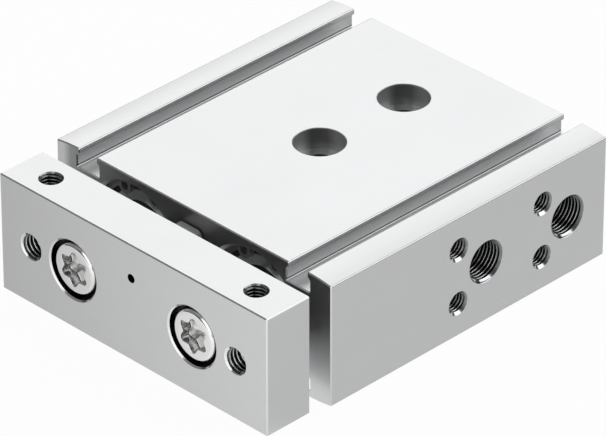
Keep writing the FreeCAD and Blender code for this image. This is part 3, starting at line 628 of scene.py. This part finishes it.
def mottled_finish(name, base, metallic, roughness, fine, coarse, relief):
    """A finish with noise of two sizes, the fine one also in relief."""
    finish = Finish(name, metallic=metallic)
    specks = finish.even(fine)
    patches = finish.even(coarse)
    tone = 1.0 + swing(specks, fine.tone) + swing(patches, coarse.tone)
    rough = roughness + swing(specks, fine.rough) + swing(patches, coarse.rough)
    return finish.wear(base_color=finish.tinted(base, tone), roughness=rough,
                       normal=finish.relief(specks, relief))


def elastomer_finish(name, base, roughness):
    """Moulded rubber: dull, finely pitted, with a trace of bloom."""
    return mottled_finish(name, base, 0.0, roughness, RUBBER_PITS, RUBBER_BLOOM, RUBBER_RELIEF)


def sintered_finish(name, base, metallic, roughness):
    """Pressed powder: pores and flecks of two sizes."""
    return mottled_finish(name, base, metallic, roughness, POWDER_PORES, POWDER_FLECKS, POWDER_RELIEF)


def make_finishes(colours):
    """Every finish, under the material slot of the record that it serves."""
    lengthwise = (2400.0, 16.0, 2400.0)
    crosswise = (16.0, 2400.0, 2400.0)
    around = (60.0, 4200.0, 60.0)
    fine = (3000.0, 3000.0, 3000.0)
    return {
        "housing_aluminium": metal_finish("anodised_extrusion", colours.housing, lengthwise,
                                          metallic=0.85, roughness=0.36, zones=housing_zones),
        "yoke_aluminium": metal_finish("brushed_plate", colours.plate, crosswise,
                                       metallic=0.85, roughness=0.36, zones=plate_zones),
        **{f"cut_{axis}": metal_finish(f"cut_thread_{axis}", colours.cut, fine,
                                       metallic=1.0, roughness=0.14,
                                       zones=lambda finish, axis=axis: thread_zones(finish, axis))
           for axis in "XYZ"},
        "cap_aluminium": metal_finish("turned_cap", colours.turned, around,
                                      metallic=0.9, roughness=0.30, zones=cap_zones),
        "rod_chrome": metal_finish("chromed_rod", colours.chrome, around,
                                   metallic=1.0, roughness=0.14, contrast=0.03, relief=5e-7),
        "screw_steel": metal_finish("plated_steel", colours.plated, fine,
                                    metallic=1.0, roughness=0.17, zones=screw_zones),
        "spring_steel": metal_finish("phosphated_spring", colours.spring, fine,
                                     metallic=0.7, roughness=0.42, contrast=0.25),
        "black_rubber": elastomer_finish("sealing_rubber", colours.rubber, roughness=0.5),
        "cushion_elastomer": elastomer_finish("cushion_rubber", colours.cushion, roughness=0.55),
        "grey_elastomer": elastomer_finish("bumper_rubber", colours.bumper, roughness=0.6),
        "bearing_bronze": sintered_finish("sintered_bronze", colours.bronze, metallic=0.9, roughness=0.42),
        "magnet": sintered_finish("bonded_magnet", colours.magnet, metallic=0.2, roughness=0.5),
        "guide_plastic": sintered_finish("filled_guide", colours.guide, metallic=0.0, roughness=0.55),
    }


FINISHES = {}


# Modelling

CIRCLE_STEPS = 96
SMOOTH_ANGLE = math.radians(32)


def near(first, second):
    """True for two measures that are the same but for rounding."""
    return abs(first - second) < NEAR


def add(kind, name, **options):
    """A new primitive, alone in the selection."""
    bpy.ops.object.select_all(action="DESELECT")
    getattr(bpy.ops.mesh, f"primitive_{kind}_add")(**options)
    piece = bpy.context.active_object
    piece.name = piece.data.name = name
    return piece


@contextmanager
def editing(piece):
    """Edit mode, with all of the piece selected."""
    bpy.context.view_layer.objects.active = piece
    bpy.ops.object.mode_set(mode="EDIT")
    bpy.ops.mesh.select_all(action="SELECT")
    yield
    bpy.ops.object.mode_set(mode="OBJECT")


def choose(kind, test):
    """Select those verts, edges or faces of the edited piece whose every corner passes the test."""
    bpy.ops.mesh.select_mode(type={"verts": "VERT", "edges": "EDGE", "faces": "FACE"}[kind])
    bpy.ops.mesh.select_all(action="DESELECT")
    mesh = bpy.context.edit_object.data
    model = bmesh.from_edit_mesh(mesh)
    for item in getattr(model, kind):
        corners = [item] if kind == "verts" else item.verts
        item.select_set(all(test(corner.co) for corner in corners))
    model.select_flush_mode()
    bmesh.update_edit_mesh(mesh)


def move(offset):
    """Move what is selected."""
    bpy.ops.transform.translate(value=offset)


def resize(factors, centre=(0, 0, 0)):
    """Scale what is selected about a centre."""
    bpy.ops.transform.resize(value=factors, center_override=centre)


def close_up():
    """Merge doubles, close open ends and turn all faces outwards."""
    bpy.ops.mesh.select_all(action="SELECT")
    bpy.ops.mesh.remove_doubles(threshold=NEAR)
    bpy.ops.mesh.fill_holes(sides=0)
    bpy.ops.mesh.normals_make_consistent(inside=False)


def modify(piece, kind, **settings):
    """Add a modifier to the piece, set it and apply it."""
    bpy.context.view_layer.objects.active = piece
    bpy.ops.object.modifier_add(type=kind)
    modifier = piece.modifiers[-1]
    for name, value in settings.items():
        setattr(modifier, name, value)
    bpy.ops.object.modifier_apply(modifier=modifier.name)


def sweep(piece, steps, climb=0.0, turns=1):
    """Turn the piece's section about its Z axis, climbing by so much a turn."""
    modify(piece, "SCREW", axis="Z", angle=math.tau, screw_offset=climb, iterations=turns, steps=steps,
           render_steps=steps, use_merge_vertices=climb == 0.0, merge_threshold=NEAR)


def carve(piece, tool, operation="DIFFERENCE"):
    """Cut the tool from the piece, or join it to the piece, and clear the tool away."""
    modify(piece, "BOOLEAN", operation=operation, solver="EXACT", object=tool)
    bpy.data.objects.remove(tool)


def section(name, inner, outer, low, high):
    """A wire rectangle in the XZ plane, between two radii and two heights."""
    piece = add("plane", name, size=1.0, rotation=(math.pi / 2, 0, 0))
    bpy.ops.object.transform_apply(rotation=True)
    with editing(piece):
        resize((outer - inner, 1.0, high - low))
        move(((inner + outer) / 2, 0, (low + high) / 2))
        bpy.ops.mesh.delete(type="ONLY_FACE")
    return piece


def pick(piece):
    """Select the piece alone and make it the active one."""
    bpy.ops.object.select_all(action="DESELECT")
    piece.select_set(True)
    bpy.context.view_layer.objects.active = piece


def front_of(node):
    """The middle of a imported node's front."""
    low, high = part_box(node)
    return Vector(((low.x + high.x) / 2, low.y, (low.z + high.z) / 2))


def seat(piece, place, facing):
    """Turn the piece's Z axis to the way it faces, put it in its place and apply both."""
    pick(piece)
    piece.rotation_euler = ALONG_Z.rotation_difference(facing).to_euler()
    piece.location = place
    bpy.ops.object.transform_apply(location=True, rotation=True, scale=True)


def copy_of(model, name):
    """A copy of the model with a mesh of its own."""
    pick(model)
    bpy.ops.object.duplicate(linked=False)
    piece = bpy.context.active_object
    piece.name = piece.data.name = name
    return piece


def hand_over(piece, body, slot, *nodes, finish=None):
    """Shade and finish a piece, tie it to its body, and hide the nodes that it stands for."""
    pick(piece)
    bpy.ops.object.shade_smooth_by_angle(angle=SMOOTH_ANGLE)
    piece.data.materials.clear()
    piece.data.materials.append(FINISHES[finish or slot])
    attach(piece, body)
    if nodes:
        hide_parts(*nodes)


# Threads

# Measures of a ridge and of the cone that opens its hole, in pitches
METRIC_DEPTH = 0.54125
PIPE_DEPTH = 0.6403
CREST_SHARE = 0.25
CREST_ROUND = 0.11
FOOT_SHARE = 0.875
CONE_RISE = 3

RIDGE_STEPS = 48


def ridge_model(name, radius, depth, pitch, reach, mouth, turn):
    """The ridge of a tapped hole whose face is at Z 0: a V section's helix, cut by the mouth's cone."""
    cover = bpy.context.scene.thread_sizes.root_cover
    foot = pitch * FOOT_SHARE / 2
    piece = section(name, radius - depth, radius + cover, -reach - foot, -reach + foot)
    with editing(piece):
        choose("verts", lambda spot: spot.x < radius)
        resize((1.0, 1.0, CREST_SHARE / FOOT_SHARE), (radius - depth, 0, -reach))
        bpy.ops.mesh.bevel(offset=pitch * CREST_ROUND, segments=3, affect="VERTICES")
    sweep(piece, RIDGE_STEPS, pitch, math.ceil(reach / pitch) + 1)
    with editing(piece):
        close_up()
        bpy.ops.mesh.bisect(plane_co=(0, 0, -reach), plane_no=(0, 0, -1), use_fill=True,
                            clear_outer=True, threshold=NEAR)
        close_up()
    cone_top = pitch * CONE_RISE
    cone_height = mouth / 2 + cone_top
    cone = add("cone", "mouth_cone", vertices=CIRCLE_STEPS, radius1=0.0, radius2=cone_height,
               depth=cone_height, location=(0, 0, cone_top - cone_height / 2))
    carve(piece, cone)
    with editing(piece):
        close_up()
        bpy.ops.transform.rotate(value=turn, orient_axis="Z", center_override=(0, 0, 0))
    return piece


def pattern(mount, along, across=None):
    """The hole centres of a bolt pattern, given the directions of its two spacings."""
    middle = Vector(mount["pos_m"])
    steps = [along * sign * mount["dims"]["spacing_x_mm"] * MM / 2 for sign in (-1, 1)]
    if across is None:
        return [middle + step for step in steps]
    rises = [across * sign * mount["dims"]["spacing_y_mm"] * MM / 2 for sign in (-1, 1)]
    return [middle + step + rise for step in steps for rise in rises]


def lay_ridges(name, model, places, facing, body, slot):
    """Copies of a ridge in all the holes of one pattern."""
    axis = "XYZ"[max(range(3), key=lambda index: abs(facing[index]))]
    for index, place in enumerate(places, start=1):
        piece = copy_of(model, f"{name}_{index}")
        seat(piece, place, facing)
        hand_over(piece, body, slot, finish=f"cut_{axis}")


class CYLINDER_OT_side_threads(bpy.types.Operator):
    """Model the mounting threads on both sides of the housing"""

    bl_idname = "cylinder.side_threads"
    bl_label = "Side Threads"

    def execute(self, context):
        sizes = context.scene.thread_sizes
        radius = MOUNTS["side_threads_right"]["dims"]["hole_r_mm"] * MM
        model = ridge_model("side_ridge", radius, sizes.side_pitch * METRIC_DEPTH, sizes.side_pitch,
                            sizes.side_reach, sizes.side_mouth, sizes.side_turn)
        for side in SIDES:
            mount = MOUNTS[f"side_threads_{side}"]
            lay_ridges(f"side_thread_{side}", model, pattern(mount, ALONG_Y, ALONG_Z),
                       Vector(mount["axis"]), "barrel", "housing_aluminium")
        bpy.data.objects.remove(model)
        return {"FINISHED"}


class CYLINDER_OT_port_threads(bpy.types.Operator):
    """Model the pipe threads of the two air ports"""

    bl_idname = "cylinder.port_threads"
    bl_label = "Port Threads"

    def execute(self, context):
        sizes = context.scene.thread_sizes
        ports = [MOUNTS["front_port"], MOUNTS["rear_port"]]
        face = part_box("housing")[1].x
        model = ridge_model("port_ridge", ports[0]["dims"]["r_mm"] * MM, sizes.port_pitch * PIPE_DEPTH,
                            sizes.port_pitch, sizes.port_reach, sizes.port_mouth, sizes.port_turn)
        places = [Vector((face, *port["pos_m"][1:])) for port in ports]
        lay_ridges("port_thread", model, places, ALONG_X, "barrel", "housing_aluminium")
        bpy.data.objects.remove(model)
        return {"FINISHED"}


class CYLINDER_OT_plate_threads(bpy.types.Operator):
    """Model the threads through the yoke plate and in its top edge"""

    bl_idname = "cylinder.plate_threads"
    bl_label = "Plate Threads"

    def execute(self, context):
        sizes = context.scene.thread_sizes
        low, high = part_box("yoke_plate")
        jobs = [("yoke_face_threads", "face_thread", sizes.face_pitch, high.y - low.y, sizes.face_mouth,
                 sizes.face_turn),
                ("yoke_top_threads", "top_thread", sizes.top_pitch, sizes.top_reach, sizes.top_mouth,
                 sizes.top_turn)]
        for mount_name, name, pitch, reach, mouth, turn in jobs:
            mount = MOUNTS[mount_name]
            model = ridge_model(f"{name}_ridge", mount["dims"]["hole_r_mm"] * MM, pitch * METRIC_DEPTH,
                                pitch, reach, mouth, turn)
            lay_ridges(name, model, pattern(mount, ALONG_X), Vector(mount["axis"]), "yoke",
                       "yoke_aluminium")
            bpy.data.objects.remove(model)
        return {"FINISHED"}


# Screws

LOBES = 6
CORNERS_PER_LOBE = 4

# Half a lobe's width, in steps from lobe to lobe
LOBE_HALF = 0.25

SCREW_BEVEL_ANGLE = math.radians(40)


def socket_tool(sizes):
    """The six-lobe punch: a prism drawn in between its lobes, then smoothed."""
    depth = sizes.socket_depth
    over = depth / 2
    tool = add("cylinder", "socket_tool", vertices=LOBES * CORNERS_PER_LOBE, radius=sizes.lobe_reach,
               depth=depth + over, end_fill_type="NOTHING", location=(0, 0, (over - depth) / 2),
               rotation=(0, 0, math.pi / LOBES / CORNERS_PER_LOBE))
    bpy.ops.object.transform_apply(location=True, rotation=True)
    waist = sizes.waist_reach / sizes.lobe_reach

    def between_lobes(spot):
        turn = math.atan2(spot.x, spot.y) / (math.tau / LOBES)
        return abs(turn - round(turn)) > LOBE_HALF

    with editing(tool):
        choose("verts", between_lobes)
        resize((waist, waist, 1.0))
    modify(tool, "SUBSURF", levels=3, render_levels=3)
    with editing(tool):
        choose("edges", lambda spot: near(spot.z, -depth))
        bpy.ops.mesh.extrude_region_move(TRANSFORM_OT_translate={"value": (0, 0, -sizes.socket_cone)})
        resize((0.0, 0.0, 1.0), (0, 0, -depth - sizes.socket_cone))
        close_up()
    return tool


def screw_model(sizes, radius):
    """A pan-head screw along Z, the top of its head at 0, with a six-lobe socket."""
    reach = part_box("yoke_screw_left")
    shank = reach[1].y - reach[0].y - sizes.head_height
    piece = add("cylinder", "screw_model", vertices=CIRCLE_STEPS, radius=radius, depth=sizes.head_height,
                location=(0, 0, -sizes.head_height / 2))
    bpy.ops.object.transform_apply(location=True)
    with editing(piece):
        choose("edges", lambda spot: near(spot.z, 0.0))
        bpy.ops.mesh.bevel(offset=sizes.head_round, segments=8, affect="EDGES")
        choose("faces", lambda spot: near(spot.z, -sizes.head_height))
        bpy.ops.mesh.inset(thickness=radius - sizes.shank_diameter / 2)
        bpy.ops.mesh.extrude_region_move(TRANSFORM_OT_translate={"value": (0, 0, -shank)})
        choose("edges", lambda spot: near(spot.z, -sizes.head_height - shank))
        bpy.ops.mesh.bevel(offset=sizes.tip_chamfer, segments=1, affect="EDGES")
    carve(piece, socket_tool(sizes))
    modify(piece, "BEVEL", width=sizes.edge_round, segments=3, limit_method="ANGLE",
           angle_limit=SCREW_BEVEL_ANGLE)
    with editing(piece):
        close_up()
    return piece


class CYLINDER_OT_yoke_screws(bpy.types.Operator):
    """Model the two screws that hold the plate on the rods"""

    bl_idname = "cylinder.yoke_screws"
    bl_label = "Yoke Screws"

    def execute(self, context):
        low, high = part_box("yoke_screw_left")
        model = screw_model(context.scene.screw_sizes, (high.x - low.x) / 2)
        for side in SIDES:
            node = f"yoke_screw_{side}"
            piece = copy_of(model, f"lobe_screw_{side}")
            seat(piece, front_of(node), -ALONG_Y)
            hand_over(piece, "yoke", "screw_steel", node)
        bpy.data.objects.remove(model)
        return {"FINISHED"}


# Soft pieces

PEG_CORNERS = 40
WIPER_CUTS = 4


class CYLINDER_OT_stop_bumper(bpy.types.Operator):
    """Model the elastic pad between the plate and the housing, with its peg"""

    bl_idname = "cylinder.stop_bumper"
    bl_label = "Stop Bumper"

    def execute(self, context):
        sizes = context.scene.rubber_sizes
        low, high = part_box("stop_bumper")
        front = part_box("yoke_plate")[1].y
        middle = (low + high) / 2
        piece = add("cube", "elastic_bumper", size=1.0)
        with editing(piece):
            resize((high.x - low.x, high.y - front, high.z - low.z))
            move((middle.x, (front + high.y) / 2, middle.z))
            choose("edges", lambda spot: True)
            self.round_corners(sizes)
            choose("edges", lambda spot: near(spot.y, high.y))
            bpy.ops.mesh.bevel(offset=sizes.bumper_edge, segments=4, affect="EDGES")
        peg = add("cylinder", "bumper_peg", vertices=PEG_CORNERS, radius=sizes.peg_diameter / 2,
                  depth=front - low.y + sizes.bumper_round, rotation=(math.pi / 2, 0, 0),
                  location=(middle.x, (front + low.y + sizes.bumper_round) / 2, middle.z))
        carve(piece, peg, "UNION")
        hand_over(piece, "yoke", "grey_elastomer", "stop_bumper")
        return {"FINISHED"}

    def round_corners(self, sizes):
        """Round the four edges that run from the plate to the housing."""
        mesh = bpy.context.edit_object.data
        model = bmesh.from_edit_mesh(mesh)
        for edge in model.edges:
            start, end = (vert.co for vert in edge.verts)
            edge.select_set(near(start.x, end.x) and near(start.z, end.z))
        model.select_flush_mode()
        bmesh.update_edit_mesh(mesh)
        bpy.ops.mesh.bevel(offset=sizes.bumper_round, segments=8, affect="EDGES")


class CYLINDER_OT_rod_wipers(bpy.types.Operator):
    """Model the black lipped rings that wipe the rods"""

    bl_idname = "cylinder.rod_wipers"
    bl_label = "Rod Wipers"

    def execute(self, context):
        sizes = context.scene.rubber_sizes
        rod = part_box("piston_rod_left")
        rod_radius = (rod[1].x - rod[0].x) / 2
        low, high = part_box("rod_wiper_left")
        outer = (high.x - low.x) / 2
        depth = high.y - low.y
        heel = rod_radius + sizes.wiper_heel
        model = section("wiper_model", heel, outer, -depth, 0.0)
        with editing(model):
            choose("edges", lambda spot: near(spot.x, heel))
            bpy.ops.mesh.subdivide(number_cuts=WIPER_CUTS)
            lip = -depth / (WIPER_CUTS + 1)
            choose("verts", lambda spot: spot.x < heel + NEAR and near(spot.z, lip))
            move((sizes.wiper_lip - sizes.wiper_heel, 0, 0))
            bpy.ops.mesh.select_all(action="SELECT")
            bpy.ops.mesh.bevel(offset=sizes.wiper_round, segments=3, affect="VERTICES")
        sweep(model, CIRCLE_STEPS)
        with editing(model):
            close_up()
        for side in SIDES:
            node = f"rod_wiper_{side}"
            piece = copy_of(model, f"lipped_wiper_{side}")
            seat(piece, front_of(node), -ALONG_Y)
            hand_over(piece, "barrel", "black_rubber", node)
        bpy.data.objects.remove(model)
        return {"FINISHED"}


# Finishes and stage

class CYLINDER_OT_finishes(bpy.types.Operator):
    """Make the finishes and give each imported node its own"""

    bl_idname = "cylinder.finishes"
    bl_label = "Finishes"

    def execute(self, context):
        FINISHES.update(make_finishes(context.scene.finish_colours))
        for name, node in NODES.items():
            node.material_slots[0].material = FINISHES[NODE_SLOTS[name]]
        return {"FINISHED"}


FLOOR_MOTTLE = Grain(cells=30.0, detail=3.0, tone=0.01)
WHITE = (1.0, 1.0, 1.0)
SENSOR_WIDTH = 36.0
LAMPS = {"ceiling": "ceiling_lamp", "back": "back_panel", "rear": "rear_panel", "side": "side_lamp",
         "fill": "fill_panel"}


class CYLINDER_OT_stage(bpy.types.Operator):
    """Set up the floor, the soft lamps, the room and the camera"""

    bl_idname = "cylinder.stage"
    bl_label = "Stage"

    def execute(self, context):
        sizes = context.scene.stage_sizes
        self.lay_floor(sizes, context.scene.finish_colours)
        for prefix, name in LAMPS.items():
            values = (getattr(sizes, f"{prefix}_{kind}") for kind in ("level", "spread", "tilt", "turn"))
            self.hang_lamp(name, *values)
        self.light_room(context.scene, sizes)
        self.set_camera(context.scene, sizes)
        context.scene.view_settings.view_transform = "Standard"
        return {"FINISHED"}

    def lay_floor(self, sizes, colours):
        """A pale floor, white to the camera, and in mirrors a glow of painted light and shade, as bright
        as its place gives.
        """
        floor = add("plane", "studio_floor", size=sizes.floor_width, location=(0, 0, -sizes.floor_gap))
        finish = Finish("pale_floor", roughness=0.9)
        tone = 1.0 + swing(finish.even(FLOOR_MOTTLE), FLOOR_MOTTLE.tone)
        finish.wear(base_color=finish.tinted(colours.floor, tone))
        seen, mirrored, through = [finish.node("LightPath", output=f"Is {kind} Ray")
                                   for kind in ("Camera", "Glossy", "Transmission")]
        # Painted light and shade that only mirrors show: the floor's glow by place
        x, y, _ = finish.axes()
        closer = x - y
        front = finish.ramp(closer, sizes.left_start, sizes.right_start,
                            sizes.mirror_left, sizes.mirror_right)
        ahead = finish.ramp(0.0 - (x + y), sizes.side_end, sizes.front_start)
        bright = finish.ramp(closer, sizes.near_start, sizes.near_end, 0.0, sizes.mirror_near)
        pool = sizes.mirror_side + (front - sizes.mirror_side) * ahead + bright
        shine = finish.tinted(WHITE, seen + (mirrored + through) * pool)
        glow = finish.node("Emission", sockets={"Color": shine})
        finish.cover(glow, (seen + mirrored + through) * sizes.floor_glow)
        floor.data.materials.append(finish.material)

    def hang_lamp(self, name, lamp_level, spread, tilt, turn):
        """A wide, even lamp that is as far off as the sky."""
        lamp = bpy.data.lights.new(name, "SUN")
        lamp.angle = spread
        lamp.energy = lamp_level * math.pi
        holder = bpy.data.objects.new(name, lamp)
        aim = Matrix.Rotation(turn, 3, "Z") @ Matrix.Rotation(-tilt, 3, "X")
        holder.rotation_euler = aim.to_euler()
        bpy.context.scene.collection.objects.link(holder)

    def light_room(self, scene, sizes):
        """The dim light that comes from all around."""
        scene.world = bpy.data.worlds.new("dim_room")
        scene.world.use_nodes = True
        room = scene.world.node_tree.nodes["Background"]
        room.inputs["Color"].default_value = (*WHITE, 1.0)
        room.inputs["Strength"].default_value = sizes.room_level

    def set_camera(self, scene, sizes):
        """The camera of the photograph."""
        camera = bpy.data.cameras.new("photo_camera")
        camera.sensor_fit = "HORIZONTAL"
        camera.sensor_width = SENSOR_WIDTH
        camera.lens = sizes.lens
        holder = bpy.data.objects.new("photo_camera", camera)
        holder.location = sizes.eye
        aim = (Matrix.Rotation(sizes.azimuth, 3, "Z")
               @ Matrix.Rotation(math.pi / 2 - sizes.elevation, 3, "X")
               @ Matrix.Rotation(sizes.roll, 3, "Z"))
        holder.rotation_euler = aim.to_euler()
        scene.collection.objects.link(holder)
        scene.camera = holder


OPERATORS = (CYLINDER_OT_finishes, CYLINDER_OT_side_threads, CYLINDER_OT_port_threads,
             CYLINDER_OT_plate_threads, CYLINDER_OT_yoke_screws, CYLINDER_OT_stop_bumper,
             CYLINDER_OT_rod_wipers, CYLINDER_OT_stage)
GROUPS = {"thread_sizes": ThreadSizes, "screw_sizes": ScrewSizes, "rubber_sizes": RubberSizes,
          "finish_colours": FinishColours, "finish_sizes": FinishSizes, "stage_sizes": StageSizes}


class CYLINDER_PT_sidebar(bpy.types.Panel):
    """List the steps that dress the cylinder"""

    bl_idname = "CYLINDER_PT_sidebar"
    bl_label = "Double Piston Cylinder"
    bl_space_type = "VIEW_3D"
    bl_region_type = "UI"
    bl_category = "Cylinder"

    def draw(self, context):
        for step in OPERATORS:
            self.layout.operator(step.bl_idname)


def register():
    for item in (*GROUPS.values(), *OPERATORS, CYLINDER_PT_sidebar):
        bpy.utils.register_class(item)
    for name, group in GROUPS.items():
        setattr(bpy.types.Scene, name, bpy.props.PointerProperty(type=group))


def unregister():
    for name in GROUPS:
        delattr(bpy.types.Scene, name)
    for item in (CYLINDER_PT_sidebar, *reversed(OPERATORS), *GROUPS.values()):
        bpy.utils.unregister_class(item)


def main():
    register()
    for step in OPERATORS:
        family, action = step.bl_idname.split(".")
        getattr(getattr(bpy.ops, family), action)()


if __name__ == "__main__":
    main()
